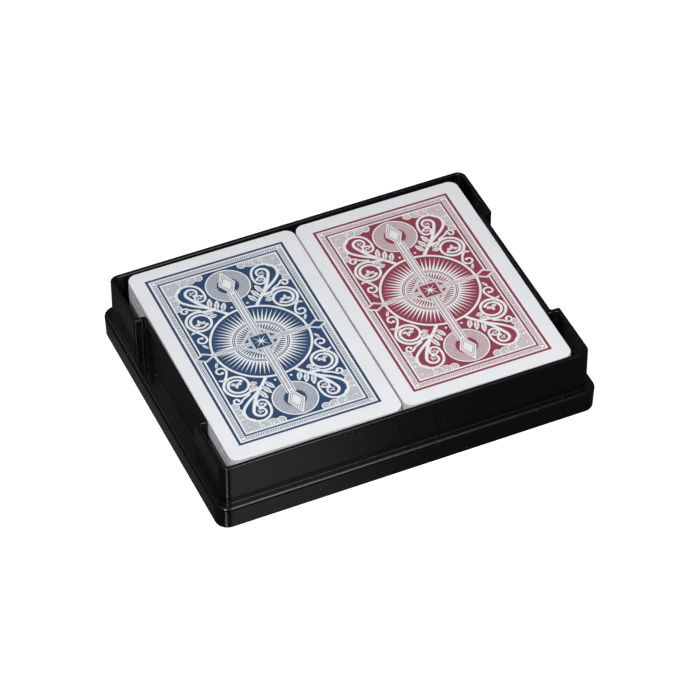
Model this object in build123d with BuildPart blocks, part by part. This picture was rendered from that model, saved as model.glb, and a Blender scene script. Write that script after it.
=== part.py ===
from build123d import *
import math
import os

# A two-deck playing card set: the black moulded base of a card case, with two bridge-size decks lying
# side by side in its pocket, backs up. Millimetres, +Z up. The origin is the centre of the base's
# underside, +X runs along the long side towards the red deck, and +Y towards the back.

# Driving dimensions: the cards
card_width = 57.15  # bridge size, 2 1/4 by 3 1/2 inches
card_height = 88.9
card_corner = 3.2
card_thickness = 0.29
card_pitch = 0.30  # a card and the air over it
cards_in_deck = 54
stray_shift = 0.05  # how far a card may lie out of line with its deck
stray_turn = 0.03  # degrees
stray_x_swing, stray_y_swing, stray_turn_swing = 2.4, 1.9, 3.1  # radians from one card to the next
red_phase = 1.7  # keeps the two decks' strays from matching

# Driving dimensions: where the two loose decks lie in the pocket
deck_pitch = 57.85
blue_deck_y = 0.0
red_deck_y = -0.42
blue_deck_turn = -0.60  # degrees
red_deck_turn = -0.50

# Driving dimensions: the case base
collar_length = 124.7  # the upright wall that the lid slides over, outside
collar_width = 93.5
collar_height = 15.1  # above the ledge that the lid comes down on
collar_corner = 3.0
skirt_length = 129.4  # the foot below the ledge, outside, at its top
skirt_width = 98.5
skirt_height = 8.4
skirt_corner = 4.5
skirt_draft = 2.0  # degrees
recess_length = 48.6  # the finger recess in the middle of each short side
recess_depth = 3.0
recess_corner = 0.7
wall = 1.4
skirt_wall = 2.8
floor_thickness = 1.6
wall_over_deck = 0.4  # the wall's top above the top card
top_edge_radius = 0.4
rim_radius = 1.0
foot_radius = 0.5
crease_radius = 0.2

# Worked out from the above
case_height = skirt_height + collar_height
pocket_floor = case_height - wall_over_deck - cards_in_deck * card_pitch
hollow_height = pocket_floor - floor_thickness
hollow_length = skirt_length - 2 * skirt_wall
hollow_width = skirt_width - 2 * skirt_wall
hollow_corner = skirt_corner - skirt_wall
near = 0.05  # how close an edge lies to the place it's picked by

os.makedirs("parts", exist_ok=True)


def write(piece, node):
    """Label a finished piece with its node's name and write its STEP file."""
    piece.part.label = node
    export_step(piece.part, f"parts/{node}.step")


def collar_plan(inset):
    """The collar's outline with its two finger recesses, drawn in from the outer face by the inset."""
    length = collar_length - 2 * inset
    gap = recess_length + 2 * inset
    RectangleRounded(length, collar_width - 2 * inset, collar_corner - inset)
    with Locations((-length / 2, 0), (length / 2, 0)):
        Rectangle(2 * recess_depth, gap, mode=Mode.SUBTRACT)
    corners = vertices().filter_by(lambda v: abs(v.Y) < gap / 2 + recess_corner)
    fillet(corners, recess_corner)


def at_collar(edge):
    """Whether an edge follows the collar's outline, and not the skirt's."""
    place = edge.center()
    return abs(place.X) < collar_length / 2 + near and abs(place.Y) < collar_width / 2 + near


# Case base: one moulding, with a drafted skirt, a ledge for the lid, a collar round the pocket,
# and a hollow underside
with BuildPart() as case_base:
    with BuildSketch(Plane(origin=(0, 0, skirt_height), z_dir=(0, 0, -1))):
        RectangleRounded(skirt_length, skirt_width, skirt_corner)
    extrude(amount=skirt_height, taper=skirt_draft)
    fillet(case_base.edges().group_by(Axis.Z)[-1], rim_radius)
    fillet(case_base.edges().group_by(Axis.Z)[0], foot_radius)

    with BuildSketch(Plane.XY.offset(skirt_height)):
        collar_plan(0)
    extrude(amount=collar_height)
    ledge_edges = case_base.edges().filter_by_position(Axis.Z, skirt_height - near, skirt_height + near)
    fillet(ledge_edges.filter_by(at_collar), crease_radius)

    with BuildSketch(Plane.XY.offset(pocket_floor)):
        collar_plan(wall)
    extrude(amount=case_height, mode=Mode.SUBTRACT)
    fillet(case_base.edges().group_by(Axis.Z)[-1], top_edge_radius)

    with BuildSketch(Plane.XY):
        RectangleRounded(hollow_length, hollow_width, hollow_corner)
    extrude(amount=hollow_height, mode=Mode.SUBTRACT)
write(case_base, "case_base")


# The decks: every card is a solid of its own. Slots are counted from the bottom card of a deck, and
# each card lies a hair out of line with the ones round it.
def card_plane(colour, slot):
    """The plane of the underside of the card in one slot of one deck."""
    if colour == "blue":
        x, y, turn, phase = -deck_pitch / 2, blue_deck_y, blue_deck_turn, 0.0
    else:
        x, y, turn, phase = deck_pitch / 2, red_deck_y, red_deck_turn, red_phase
    x += stray_shift * math.sin(stray_x_swing * slot + phase)
    y += stray_shift * math.sin(stray_y_swing * slot + 2 * phase)
    angle = math.radians(turn + stray_turn * math.sin(stray_turn_swing * slot + phase))
    return Plane(
        origin=(x, y, pocket_floor + slot * card_pitch),
        x_dir=(math.cos(angle), math.sin(angle), 0),
        z_dir=(0, 0, 1),
    )


def make_cards(colour, name, first_slot, count=1):
    """One node of one or more cards that lie on each other, each a separate solid."""
    with BuildPart() as cards:
        for slot in range(first_slot, first_slot + count):
            with BuildSketch(card_plane(colour, slot)):
                RectangleRounded(card_width, card_height, card_corner)
            extrude(amount=card_thickness)
    write(cards, f"{colour}_{name}")


ranks = "ace two three four five six seven eight nine ten jack queen king".split()
suit_size = len(ranks)
joker_count = 2
clubs_slot = joker_count + suit_size
diamonds_slot = clubs_slot + suit_size
for colour in ("blue", "red"):
    # The lower part of the deck: jokers, then hearts and clubs, each suit in one node
    make_cards(colour, "jokers", 0, joker_count)
    make_cards(colour, "hearts", joker_count, suit_size)
    make_cards(colour, "clubs", clubs_slot, suit_size)
    # The packet that a cut lifts, a node for each card: diamonds, and spades with the ace on top
    for place, rank in enumerate(ranks):
        make_cards(colour, f"{rank}_of_diamonds", diamonds_slot + place)
        make_cards(colour, f"{rank}_of_spades", cards_in_deck - 1 - place)
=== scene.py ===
import math
import bpy
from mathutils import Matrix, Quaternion, Vector
from mathutils.geometry import delaunay_2d_cdt, interpolate_bezier


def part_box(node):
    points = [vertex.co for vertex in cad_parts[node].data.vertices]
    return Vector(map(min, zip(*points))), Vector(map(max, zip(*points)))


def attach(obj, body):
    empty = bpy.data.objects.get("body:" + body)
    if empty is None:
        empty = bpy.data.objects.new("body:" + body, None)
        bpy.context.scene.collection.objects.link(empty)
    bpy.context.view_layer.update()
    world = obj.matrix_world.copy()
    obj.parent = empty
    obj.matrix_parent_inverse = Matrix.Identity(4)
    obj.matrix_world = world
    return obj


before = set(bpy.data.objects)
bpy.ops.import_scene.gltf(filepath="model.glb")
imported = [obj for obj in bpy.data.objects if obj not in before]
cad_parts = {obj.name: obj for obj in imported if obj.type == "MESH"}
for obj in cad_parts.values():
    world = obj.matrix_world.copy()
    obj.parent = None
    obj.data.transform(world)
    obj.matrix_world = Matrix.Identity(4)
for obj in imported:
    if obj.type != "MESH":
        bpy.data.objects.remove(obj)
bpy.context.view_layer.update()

# ---- Camera --------------------------------------------------------------------------------------
# A long lens looks down on the set from its front left, as a catalogue picture of it would be taken.
# It aims a little in front of the middle of the case.
case_low, case_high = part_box("case_base")
camera_bearing = math.radians(-24.15)
camera_elevation = math.radians(44.45)
camera_distance = 1.1857
camera_roll = math.radians(-0.12)
camera_aim = (case_low + case_high) / 2 + Vector((-0.0008, -0.0040, 0.0))
camera_data = bpy.data.cameras.new("catalogue_camera")
camera_data.lens = 193.2
camera_data.sensor_width = 36.0
camera_data.clip_start = 0.05
camera_data.clip_end = 20.0
camera = bpy.data.objects.new("catalogue_camera", camera_data)
bpy.context.scene.collection.objects.link(camera)
away = Vector((
    math.sin(camera_bearing) * math.cos(camera_elevation),
    -math.cos(camera_bearing) * math.cos(camera_elevation),
    math.sin(camera_elevation),
))
camera.location = camera_aim + away * camera_distance
camera.rotation_mode = "QUATERNION"
camera.rotation_quaternion = (-away).to_track_quat("-Z", "Y") @ Quaternion((0, 0, 1), camera_roll)
bpy.context.scene.camera = camera
bpy.context.scene.view_settings.view_transform = "Standard"

# ---- Floor and light -----------------------------------------------------------------------------
# A glossy white sweep that burns out to white, and mirrors the soft boxes up into the case's walls.
# Five boxes light the set: overhead, behind it, in front, high at the right for the rims, and the key
# at the front left. The air stays dim, so that the black moulding keeps its depth.
bpy.ops.mesh.primitive_plane_add(size=12.0, location=(0, 0, 0))
floor = bpy.context.object
floor.name = "studio_floor"
floor_finish = bpy.data.materials.new("white_sweep")
floor_finish.use_nodes = True
floor_nodes, floor_links = floor_finish.node_tree.nodes, floor_finish.node_tree.links
floor_shader = floor_nodes["Principled BSDF"]
floor_shader.inputs["Roughness"].default_value = 0.12
floor_shader.inputs["Specular IOR Level"].default_value = 0.5
floor_shader.inputs["Emission Color"].default_value = (1, 1, 1, 1)
floor_path = floor_nodes.new("ShaderNodeLightPath")
for socket, unseen, seen in (("Emission Strength", 0.0, 0.85), ("Base Color", 0.035, 0.55)):
    floor_level = floor_nodes.new("ShaderNodeMapRange")
    floor_level.inputs["To Min"].default_value = unseen
    floor_level.inputs["To Max"].default_value = seen
    floor_links.new(floor_path.outputs["Is Camera Ray"], floor_level.inputs["Value"])
    floor_links.new(floor_level.outputs["Result"], floor_shader.inputs[socket])
floor.data.materials.append(floor_finish)


def soft_box(name, bearing, elevation, distance, width, depth, power):
    """A rectangular soft box that faces the set, placed by its bearing and elevation in degrees."""
    lamp = bpy.data.lights.new(name, "AREA")
    lamp.shape = "RECTANGLE"
    lamp.size = width
    lamp.size_y = depth
    lamp.energy = power
    box = bpy.data.objects.new(name, lamp)
    bpy.context.scene.collection.objects.link(box)
    turn, rise = math.radians(bearing), math.radians(elevation)
    toward = Vector((math.sin(turn) * math.cos(rise), math.cos(turn) * math.cos(rise), math.sin(rise)))
    box.location = toward * distance
    box.rotation_mode = "QUATERNION"
    box.rotation_quaternion = (-toward).to_track_quat("-Z", "Y")


soft_box("overhead_soft_box", bearing=-10, elevation=80, distance=1.5, width=0.7, depth=0.5, power=2.4)
soft_box("back_left_soft_box", bearing=-22, elevation=44, distance=0.5, width=0.10, depth=0.10, power=0.06)
soft_box("front_soft_box", bearing=172, elevation=43, distance=0.52, width=0.14, depth=0.14, power=0.72)
soft_box("rim_soft_box", bearing=152, elevation=66, distance=0.6, width=0.15, depth=0.15, power=0.6)
soft_box("key_soft_box", bearing=-144, elevation=44, distance=0.9, width=0.10, depth=0.12, power=4.7)
world = bpy.data.worlds.new("studio_air")
world.use_nodes = True
air = world.node_tree.nodes["Background"]
air.inputs["Color"].default_value = (0.93, 0.96, 1.0, 1)
air.inputs["Strength"].default_value = 0.10
bpy.context.scene.world = world

# ---- Case base -----------------------------------------------------------------------------------
# One injection moulding in black styrene with a fair gloss, straight from a polished tool. Handling
# has left fine scuffs on it and a little dust, and has rubbed its edges smoother than its faces.
def group_node(name, numbers, result):
    """A new shader node group with numbers going in and one result coming out."""
    group = bpy.data.node_groups.new(name, "ShaderNodeTree")
    group.interface.new_socket(name="Position", in_out="INPUT", socket_type="NodeSocketVector")
    for label, value in numbers.items():
        socket = group.interface.new_socket(name=label, in_out="INPUT", socket_type="NodeSocketFloat")
        socket.default_value = value
    group.interface.new_socket(name=result, in_out="OUTPUT", socket_type="NodeSocketFloat")
    return group, group.nodes.new("NodeGroupInput").outputs, group.nodes.new("NodeGroupOutput").inputs


def add_node(tree, kind, links=None, **settings):
    """A node in a material or a group, with its settings and with what feeds its sockets."""
    node = tree.nodes.new(f"ShaderNode{kind}")
    for label, value in settings.items():
        setattr(node, label, value)
    for socket, source in (links or {}).items():
        if isinstance(source, bpy.types.NodeSocket):
            tree.links.new(source, node.inputs[socket])
        else:
            node.inputs[socket].default_value = source
    return node.outputs


def settled_dust():
    """Specks of dust of uneven size, scattered over every surface."""
    group, given, result = group_node("settled dust", {"Scale": 400.0, "Amount": 0.5}, "Dust")
    cells = add_node(group, "TexVoronoi", {"Vector": given["Position"], "Scale": given["Scale"]})
    size = add_node(group, "SeparateColor", {"Color": cells["Color"]})
    limit = add_node(group, "Math", {0: size["Red"], 1: given["Amount"]}, operation="MULTIPLY")
    speck = add_node(group, "Math", {0: cells["Distance"], 1: limit[0]}, operation="LESS_THAN")
    group.links.new(speck[0], result["Dust"])
    return group


def fine_scuffs():
    """Hairline rubs, long from front to back, in patches."""
    group, given, result = group_node("fine scuffs", {"Scale": 60.0, "Coverage": 0.5}, "Scuffs")
    hair_stretch = (9.0, 0.6, 2.2)
    patches = add_node(group, "TexNoise", {
        "Vector": given["Position"], "Scale": given["Scale"], "Detail": 2.0,
    })
    drawn = add_node(group, "VectorMath", {0: given["Position"], 1: hair_stretch}, operation="MULTIPLY")
    streaks = add_node(group, "TexNoise", {
        "Vector": drawn[0], "Scale": given["Scale"], "Detail": 8.0, "Distortion": 0.6,
    })
    hair = add_node(group, "MapRange", {"Value": streaks["Fac"], "From Min": 0.6, "From Max": 0.72})
    patch = add_node(group, "MapRange", {
        "Value": patches["Fac"], "From Min": given["Coverage"], "From Max": 0.75,
    })
    both = add_node(group, "Math", {0: hair[0], 1: patch[0]}, operation="MULTIPLY")
    group.links.new(both[0], result["Scuffs"])
    return group


def tool_grain():
    """The faint unevenness that a moulding takes from its tool, as a height."""
    group, given, result = group_node("tool grain", {"Scale": 900.0, "Waviness": 0.5}, "Height")
    wave_scale = 45.0
    grain = add_node(group, "TexNoise", {
        "Vector": given["Position"], "Scale": given["Scale"], "Detail": 3.0,
    })
    wave = add_node(group, "TexNoise", {"Vector": given["Position"], "Scale": wave_scale, "Detail": 1.0})
    mixed = add_node(group, "Mix", {"Factor": given["Waviness"], "A": grain["Fac"], "B": wave["Fac"]})
    group.links.new(mixed["Result"], result["Height"])
    return group


def mix_tones(tree, share, first, second):
    """A colour between two, by the share of the second."""
    return add_node(tree, "Mix", {0: share, 6: first, 7: second}, data_type="RGBA")[2]


clean_tone, worn_tone = (0.0036, 0.0036, 0.0041, 1), (0.0060, 0.0060, 0.0066, 1)
dust_tone = (0.10, 0.098, 0.092, 1)
black = bpy.data.materials.new("black_styrene")
black.use_nodes = True
black_tree = black.node_tree
black_shader = black_tree.nodes["Principled BSDF"]
black_shader.inputs["Specular IOR Level"].default_value = 0.34
black_place = add_node(black_tree, "TexCoord")["Object"]
black_rub = add_node(black_tree, "NewGeometry")["Pointiness"]
black_edge = add_node(black_tree, "MapRange", {"Value": black_rub, "From Min": 0.53, "From Max": 0.62})[0]
black_dust = add_node(black_tree, "Group", {
    "Position": black_place, "Scale": 420.0, "Amount": 0.075,
}, node_tree=settled_dust())[0]
black_scuffs = add_node(black_tree, "Group", {
    "Position": black_place, "Scale": 60.0, "Coverage": 0.5,
}, node_tree=fine_scuffs())[0]
black_grain = add_node(black_tree, "Group", {
    "Position": black_place, "Scale": 900.0, "Waviness": 0.5,
}, node_tree=tool_grain())[0]
black_worn = mix_tones(black_tree, black_edge, clean_tone, worn_tone)
black_rubbed = mix_tones(black_tree, black_scuffs, black_worn, worn_tone)
black_tone = mix_tones(black_tree, black_dust, black_rubbed, dust_tone)
black_tree.links.new(black_tone, black_shader.inputs["Base Color"])
black_dull = add_node(black_tree, "MapRange", {"Value": black_scuffs, "To Min": 0.20, "To Max": 0.38})[0]
black_polish = add_node(black_tree, "MapRange", {"Value": black_edge, "To Min": 0.0, "To Max": 0.05})[0]
black_rubbed_dull = add_node(black_tree, "Math", {0: black_dull, 1: black_polish}, operation="SUBTRACT")[0]
black_rough = add_node(black_tree, "Math", {0: black_rubbed_dull, 1: black_dust}, operation="MAXIMUM")[0]
black_tree.links.new(black_rough, black_shader.inputs["Roughness"])
black_bump = add_node(black_tree, "Bump", {"Height": black_grain, "Strength": 0.12, "Distance": 0.0002})[0]
black_tree.links.new(black_bump, black_shader.inputs["Normal"])
case_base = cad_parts["case_base"]
case_base.data.materials.clear()
case_base.data.materials.append(black)

# ---- Cards ---------------------------------------------------------------------------------------
# Two decks of plastic-coated card, die cut from white sheets with an embossed linen finish that lets
# the cards slide. Each card is a loose piece. Its cut edges are a little warmer and greyer than its faces,
# and painted darker still as painted shade in the gaps between the cards and between the decks.
card_width, card_height, card_corner = 0.05715, 0.0889, 0.0032
linen_threads = 2900.0


def linen_finish():
    """The fine pillowed weave that is embossed on a card, as a height."""
    group, given, result = group_node("linen finish", {"Threads": linen_threads}, "Height")
    warp, weft = [
        add_node(group, "TexWave", {
            "Vector": given["Position"], "Scale": given["Threads"], "Distortion": 0.4,
        }, wave_type="BANDS", bands_direction=direction)["Fac"]
        for direction in ("X", "Y")
    ]
    woven = add_node(group, "Math", {0: warp, 1: weft}, operation="ADD")
    group.links.new(woven[0], result["Height"])
    return group


linen_group = linen_finish()


def card_finish(name, face_tone, shaded_edge_tone, roughness):
    """A coated card face, plain or printed, with its linen emboss, slightly uneven tone and painted shade
    on its cut edges.
    """
    finish = bpy.data.materials.new(name)
    finish.use_nodes = True
    tree = finish.node_tree
    shader = tree.nodes["Principled BSDF"]
    shader.inputs["Specular IOR Level"].default_value = 0.35
    place = add_node(tree, "TexCoord")["Object"]
    facing = add_node(tree, "SeparateXYZ", {0: add_node(tree, "NewGeometry")["Normal"]})["Z"]
    flat = add_node(tree, "Math", {0: facing}, operation="ABSOLUTE")[0]
    shaded_cut_edge = add_node(tree, "MapRange", {"Value": flat, "From Min": 0.7, "From Max": 0.3})[0]
    cloud = add_node(tree, "TexNoise", {"Vector": place, "Scale": 90.0, "Detail": 6.0})["Fac"]
    uneven = add_node(tree, "MapRange", {
        "Value": cloud, "From Min": 0.3, "From Max": 0.7, "To Min": 0.97, "To Max": 1.03,
    })[0]
    # Painted shade: where the normal lies flat, on the cut edges, the darker second tone stands in for the
    # shade between cards
    tone = mix_tones(tree, shaded_cut_edge, (*face_tone, 1), (*shaded_edge_tone, 1))
    shade = add_node(tree, "VectorMath", {0: tone, "Scale": uneven}, operation="SCALE")[0]
    tree.links.new(shade, shader.inputs["Base Color"])
    patchiness = 0.05
    worn = add_node(tree, "MapRange", {
        "Value": cloud, "To Min": roughness - patchiness, "To Max": roughness + patchiness,
    })[0]
    tree.links.new(worn, shader.inputs["Roughness"])
    linen = add_node(tree, "Group", {"Position": place, "Threads": linen_threads}, node_tree=linen_group)[0]
    bump = add_node(tree, "Bump", {"Height": linen, "Strength": 0.25, "Distance": 0.00002})[0]
    tree.links.new(bump, shader.inputs["Normal"])
    return finish


# The second, darker tone is painted shade on the card sides, with a little real warmth and grey
card_stock = card_finish("card_stock", (0.80, 0.81, 0.83), (0.62, 0.62, 0.61), 0.42)
for name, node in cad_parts.items():
    if name != "case_base":
        node.data.materials.clear()
        node.data.materials.append(card_stock)

# ---- Printed backs -------------------------------------------------------------------------------
# Each back is one colour of ink on bare white stock: a ruled frame with a rope band, and inside it a
# rayed medallion, two roundels, crossed spindles and scrolled vines. It is offset printed, the same in
# all four quarters, and the white lines are stock that the plate leaves bare. Plate sizes are in mm.
quarters = ((1, 1), (-1, 1), (-1, -1), (1, -1))
plate = []


def lay(ink, outline, everywhere=True):
    """Lay a shape on the plate, inked or bare, over what is there, in one quarter or in all four."""
    for u_side, v_side in quarters if everywhere else quarters[:1]:
        turned = [(point[0] * u_side, point[1] * v_side) for point in outline]
        area = sum(a[0] * b[1] - b[0] * a[1] for a, b in zip(turned, turned[1:] + turned[:1]))
        plate.append((ink, turned if area > 0 else turned[::-1]))


def polar(centre, radius, angle):
    """The point at a distance and an angle in degrees from a centre."""
    turn = math.radians(angle)
    return centre[0] + radius * math.cos(turn), centre[1] + radius * math.sin(turn)


def lay_disc(ink, centre, radius, everywhere=True):
    """A full round."""
    sides = 24 if radius < 1 else 72
    lay(ink, [polar(centre, radius, 360 * side / sides) for side in range(sides)], everywhere)


def lay_bar(ink, start, end, start_width, end_width):
    """A straight bar that tapers from one end to the other, or to a point."""
    start, end = Vector(start), Vector(end)
    across = Vector((start.y - end.y, end.x - start.x)).normalized() / 2
    near, far = across * start_width, across * end_width
    outline = [start - near, end - far, end + far, start + near]
    lay(ink, outline if end_width > 0 else outline[:2] + outline[3:])


def lay_box(ink, left, bottom, right, top):
    """A plain rectangle and its mirror images."""
    lay(ink, [(left, bottom), (right, bottom), (right, top), (left, top)])


def lay_rule(ink, half_width, half_height, weight):
    """A ruled rectangle round the middle of the card, by its outer edge."""
    lay_box(ink, 0, half_height - weight, half_width, half_height)
    lay_box(ink, half_width - weight, 0, half_width, half_height - weight)


def lay_ribbon(ink, path, start_width, end_width):
    """A curved band of short bars that overlap, tapering from one end to the other."""
    shortest_bar, lap = 0.05, 0.06
    for step, (here, after) in enumerate(zip(path, path[1:])):
        if math.dist(here, after) > shortest_bar:
            overlap = (Vector(after) - Vector(here)).normalized() * lap
            width = start_width + (end_width - start_width) * step / len(path)
            lay_bar(ink, Vector(here) - overlap, Vector(after) + overlap, width, width)


def curl(centre, start_radius, end_radius, start_angle, turn):
    """Points along a scroll about a centre."""
    degrees_a_step = 6
    steps = int(abs(turn) / degrees_a_step)
    growth = (end_radius - start_radius) / steps
    return [
        polar(centre, start_radius + growth * step, start_angle + turn * step / steps)
        for step in range(steps + 1)
    ]


def bearing_of(here, after):
    """The direction from one point to the next, in degrees."""
    return math.degrees(math.atan2(after[1] - here[1], after[0] - here[0]))


def lay_vine(root, bearing, curls, root_width, tip_width):
    """A vine of bare stock, from its root smoothly into one curl after another, ending in a bud."""
    path = [root]
    pull_share, bend_points = 0.4, 14
    for points in curls:
        reach = pull_share * math.dist(path[-1], points[0])
        pulls = polar(path[-1], reach, bearing), polar(points[0], -reach, bearing_of(points[0], points[1]))
        knots = [Vector((*point, 0)) for point in (path[-1], *pulls, points[0])]
        path += [tuple(point.xy) for point in interpolate_bezier(*knots, bend_points)] + points
        bearing = bearing_of(points[-2], points[-1])
    lay_ribbon(False, path, root_width, tip_width)
    lay_disc(False, path[-1], 0.85 * tip_width)


def lay_leaf(root, bearing, length, width, veins=True):
    """An almond leaf of bare stock with an inked rib and veins."""
    tip = Vector(polar(root, length, bearing))
    root = Vector(root)
    run = tip - root
    across = Vector((-run.y, run.x)).normalized() * width / 2
    edge = []
    for side in (-1, 1):
        for step in range(10):
            share = step / 10 if side < 0 else 1 - step / 10
            edge.append(root + run * share + across * side * math.sin(math.pi * share) ** 0.8)
    lay(False, edge)
    rib_weight, vein_weight, line_tip = 0.18, 0.12, 0.06
    lay_bar(True, root, root + run * 0.8, rib_weight, line_tip)
    for share in (0.3, 0.5, 0.7) if veins else ():
        for side in (-1, 1):
            inner_end = root + run * (share - 0.12)
            outer_end = root + run * (share + 0.06) + across * side * 0.62
            lay_bar(True, inner_end, outer_end, vein_weight, line_tip)


def lay_sprig(centre, bearing, size):
    """Three leaves that spring from one point."""
    for spread, reach in ((-75, 0.85), (0, 1.0), (75, 0.85)):
        lay_leaf(centre, bearing + spread, size * reach, 0.52 * size, veins=False)


def lay_engraved(centre, outer, inner, pitch, line):
    """A pale round, engraved with fine rings."""
    for ring in range(int((outer - inner) / pitch) + 1):
        lay_disc(True, centre, outer - ring * pitch)
        lay_disc(False, centre, outer - ring * pitch - line)


def press_plate(name, finish):
    """Print the plate: one flat sheet of ink, where the last shape laid at each place decides."""
    corners, loops = [], []
    keep_inside, merge_distance = 1, 0.0005
    for ink, outline in plate:
        loops.append(list(range(len(corners), len(corners) + len(outline))))
        corners.extend(Vector(point) for point in outline)
    points, _, cells, _, _, cell_shapes = delaunay_2d_cdt(corners, [], loops, keep_inside, merge_distance)
    inked = [cell for cell, shapes in zip(cells, cell_shapes) if shapes and plate[max(shapes)][0]]
    sheet = bpy.data.meshes.new(name)
    sheet.from_pydata([(point.x / 1000, point.y / 1000, 0) for point in points], [], inked)
    sheet.materials.append(finish)
    plate.clear()
    return sheet


# The field, with a shell of engraved lobes in each corner, and the ruled frame and rope band round it
field_width, field_height = 19.45, 35.35
frame_width, frame_height = 23.65, 39.45
lay_box(True, 0, 0, field_width, field_height)
shell_rim = 0.42
for u, v, radius in (
    (18.6, 23.7, 1.5), (18.9, 26.3, 1.9), (18.7, 29.4, 2.1), (7.4, 34.3, 1.5),
    (10.2, 34.7, 2.1), (13.5, 34.4, 2.5), (17.9, 33.4, 3.9),
):
    lay_disc(False, (u, v), radius)
    lay_engraved((u, v), radius - shell_rim, inner=0.3, pitch=0.36, line=0.14)
lay_rule(False, frame_width, frame_height, frame_width - field_width)
for half_width, half_height, weight in (
    (20.65, 36.55, 0.65), (21.12, 37.02, 0.14), (22.1, 38.0, 0.14), (frame_width, frame_height, 0.85),
):
    lay_rule(True, half_width, half_height, weight)
strand_pitch, strand_weight = 0.8, 0.3
(rope_left, rope_right), (rope_bottom, rope_top) = (21.3, 21.78), (37.2, 37.68)
strand_ends = [((step + 0.2) * strand_pitch, (step + 0.8) * strand_pitch) for step in range(46)]
for start, end in strand_ends[:26]:
    lay_bar(True, (start, rope_bottom), (end, rope_top), strand_weight, strand_weight)
for start, end in strand_ends:
    lay_bar(True, (rope_left, start), (rope_right, end), strand_weight, strand_weight)

# The vines, their sprigs and their leaves
upper_scroll, small_scroll, great_scroll = (12.75, 28.1), (10.45, 25.6), (14.35, 15.35)
lay_vine((5.0, 15.5), 50, [curl((11.9, 28.5), 2.2, 1.35, -30, 290)], root_width=1.12, tip_width=0.62)
lay_vine((8.6, 19.4), 42, [
    curl(upper_scroll, 4.3, 4.15, -48, 213),
    curl(small_scroll, 1.95, 1.1, 180, 330),
], root_width=0.98, tip_width=0.6)
lay_vine((8.0, 18.6), 45, [curl(great_scroll, 4.75, 2.3, 122, -620)], root_width=0.98, tip_width=0.72)
lay_vine((12.2, 20.2), 35, [curl((17.0, 21.6), 1.45, 0.6, 150, -330)], root_width=0.7, tip_width=0.6)
lay_vine((17.2, 11.7), 225, [curl((16.9, 7.7), 1.9, 0.8, 150, 330)], root_width=0.78, tip_width=0.6)
lay_ribbon(False, curl(great_scroll, 3.5, 3.1, 130, -190), start_width=0.25, end_width=0.35)
lay_leaf((16.7, 12.2), bearing=-25, length=2.6, width=0.9, veins=False)
lay_leaf((16.2, 3.2), bearing=62, length=2.9, width=0.9, veins=False)
lay_sprig((14.4, 14.4), bearing=80, size=2.2)
lay_sprig((11.9, 28.2), bearing=60, size=1.25)
lay_sprig((10.6, 25.1), bearing=80, size=1.2)
for u, v, bearing, length in (
    (8.6, 17.9, 14, 3.4), (8.1, 16.5, -4, 3.0),
    (5.9, 17.0, 116, 4.2), (7.5, 18.3, 112, 4.5), (9.1, 19.9, 108, 4.5),
):
    lay_leaf((u, v), bearing, length, width=1.75)
lay_disc(False, (2.7, 17.6), 0.42)

# The roundels and the medallion
roundel, hub = (0, 27.3), (0, 0)
lay_disc(False, roundel, 7.35)
lay_engraved(roundel, outer=6.85, inner=3.8, pitch=0.30, line=0.16)
lay_disc(True, roundel, 3.6)
ray_angle, spoke_angle = 6, 7.5
lay_disc(False, hub, 16.3, everywhere=False)
lay_disc(True, hub, 15.5, everywhere=False)
for ray in range(16):
    lay_bar(False, polar(hub, 9.2, ray_angle * ray), polar(hub, 15.0, ray_angle * ray), 0.84, 0)
lay_disc(False, hub, 9.5, everywhere=False)
lay_engraved(hub, outer=9.0, inner=8.4, pitch=0.55, line=0.3)
lay_disc(True, hub, 7.7, everywhere=False)
for spoke in range(12):
    bearing = spoke_angle * spoke + spoke_angle / 2
    lay_bar(False, polar(hub, 7.8, bearing), polar(hub, 4.8, bearing), 0.66, 0)
for half, ink in ((7.6, False), (7.2, True), (7.05, False), (6.7, True), (6.55, False), (6.2, True)):
    lay(ink, [(half, 0), (0, half), (-half, 0), (0, -half)], everywhere=False)

# The crossed spindles, with their lozenge ends and the star where they cross
for half, ink in ((0.85, False), (0.55, True), (0.4, False), (0.1, True)):
    lay_box(ink, 3.0, 0, 17.6, half)
for half, ink in ((1.55, False), (1.2, True), (0.95, False), (0.3, True), (0.12, False)):
    lay_box(ink, 0, 3.0, half, 24.6)
for inset, ink in ((0, False), (0.5, True), (0.65, False), (1.0, True), (1.15, False)):
    lay(ink, [(0, 34.0 - 2.6 * inset), (-2.9 + inset, 28.2), (0, 22.8 + 2.2 * inset), (2.9 - inset, 28.2)])
for inset, ink in ((0, False), (0.3, True), (0.42, False), (0.8, True)):
    lay(ink, [(15.2 + 1.6 * inset, 0), (19.0, inset - 2.2), (22.8 - 1.6 * inset, 0), (19.0, 2.2 - inset)])
for half, ink in ((3.6, False), (3.35, True), (3.15, False), (2.8, True)):
    lay_box(ink, 0, 0, half, half)
for point, reach in enumerate((2.4, 3.1, 2.4)):
    lay_bar(False, hub, polar(hub, reach, 45 * point), 0.55, 0)
lay_disc(False, hub, 0.5, everywhere=False)

# Offset ink, in one even film under the same coating as the stock
ink_film = 0.000004
blue_ink_tone, red_ink_tone = (0.025, 0.064, 0.145), (0.280, 0.048, 0.076)
ink_roughness = 0.40
blue_ink = card_finish("blue_ink", blue_ink_tone, blue_ink_tone, ink_roughness)
red_ink = card_finish("red_ink", red_ink_tone, red_ink_tone, ink_roughness)
blue_back = press_plate("blue_back", blue_ink)
red_back = blue_back.copy()
red_back.name = "red_back"
red_back.materials[0] = red_ink


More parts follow.
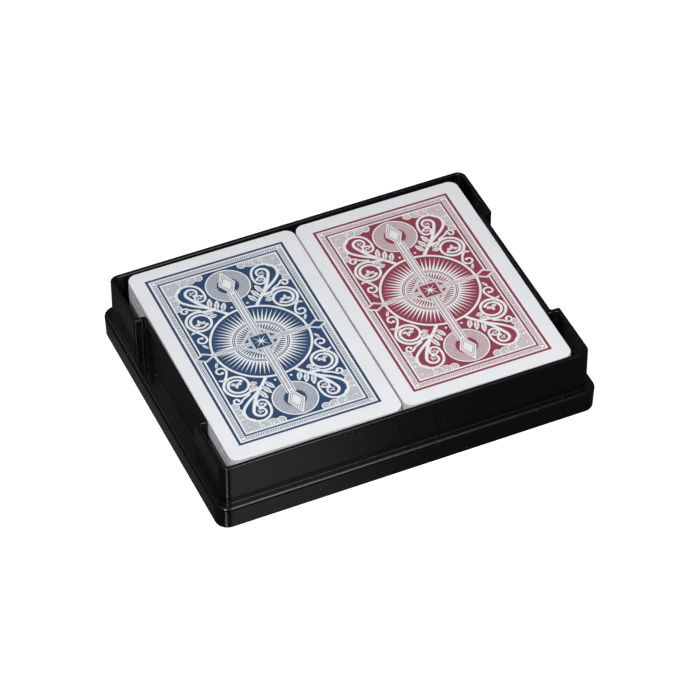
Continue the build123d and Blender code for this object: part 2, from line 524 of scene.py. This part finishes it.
def lay_print(name, sheet, card, body, register=(0.0, 0.0), face_up=True):
    """Lay a printed sheet on or under one card, turned as the card is and off its middle by register."""
    low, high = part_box(card)
    # A card that leans is wider across by the straight part of its long sides times the lean
    lean = -(high.x - low.x - card_width) / (card_height - 2 * card_corner)
    piece = bpy.data.objects.new(name, sheet)
    bpy.context.scene.collection.objects.link(piece)
    along, up = Vector((math.cos(lean), math.sin(lean), 0)), Vector((-math.sin(lean), math.cos(lean), 0))
    piece.location = (low + high) / 2 + along * register[0] + up * register[1]
    piece.location.z = high.z + ink_film if face_up else low.z - ink_film
    piece.rotation_mode = "QUATERNION"
    turn_over = Quaternion((0, 1, 0), 0 if face_up else math.pi)
    piece.rotation_quaternion = Quaternion((0, 0, 1), lean) @ turn_over
    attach(piece, body)


for colour, sheet, register in (
    ("blue", blue_back, (-0.00026, 0.00057)),
    ("red", red_back, (-0.00016, 0.00017)),
):
    for pile, card in (("top_card", "ace_of_spades"), ("cut_packet", "two_of_spades"), ("deck", "clubs")):
        piece_name = f"{colour}_{pile}_back"
        lay_print(piece_name, sheet, f"{colour}_{card}", f"{colour}_{pile}", register)

# ---- Printed faces -------------------------------------------------------------------------------
# The lowest card of each pile shows its face when the pile is lifted: one large pip in the middle and a
# small one near each corner, in one ink. They are printed as the backs are, on the card's underside.
large_pip, small_pip, small_pip_place = 17.0, 4.2, (24.2, 38.6)
black_ink_tone = (0.012, 0.012, 0.014)
black_ink = card_finish("black_ink", black_ink_tone, black_ink_tone, ink_roughness)


def lay_spade(centre, size, everywhere=True):
    """A spade pip: two rounds under a point, on a flared foot."""
    u, v = centre
    for side in (-1, 1):
        lay_disc(True, (u + 0.29 * side * size, v - 0.12 * size), 0.31 * size, everywhere)
    for half_width, base, peak in ((0.55, 0.04, 0.75), (0.27, -0.75, -0.1)):
        left, right = u - half_width * size, u + half_width * size
        lay(True, [(left, v + base * size), (right, v + base * size), (u, v + peak * size)], everywhere)


def lay_diamond(centre, size, everywhere=True):
    """A diamond pip."""
    u, v = centre
    half_width, half_height = 0.5 * size, 0.68 * size
    tips = [(u - half_width, v), (u, v - half_height), (u + half_width, v), (u, v + half_height)]
    lay(True, tips, everywhere)


def lay_star(centre, size, everywhere=True):
    """The five-pointed star of a spare card."""
    reaches = [size * (0.62 if point % 2 == 0 else 0.26) for point in range(10)]
    lay(True, [polar(centre, reach, 90 + 36 * point) for point, reach in enumerate(reaches)], everywhere)


faces = []
for suit, lay_pip, ink in (
    ("spade", lay_spade, black_ink),
    ("diamond", lay_diamond, red_ink),
    ("star", lay_star, black_ink),
):
    lay_pip((0, 0), large_pip, everywhere=False)
    lay_pip(small_pip_place, small_pip)
    faces.append(press_plate(f"{suit}_face", ink))
spade_face, diamond_face, star_face = faces

for colour in ("blue", "red"):
    for pile, card, face, ink in (
        ("top_card", "ace_of_spades", spade_face, "black_ink"),
        ("cut_packet", "ace_of_diamonds", diamond_face, "red_ink"),
        ("deck", "jokers", star_face, "black_ink"),
    ):
        lay_print(f"{colour}_{pile}_face", face, f"{colour}_{card}", f"{colour}_{pile}", face_up=False)
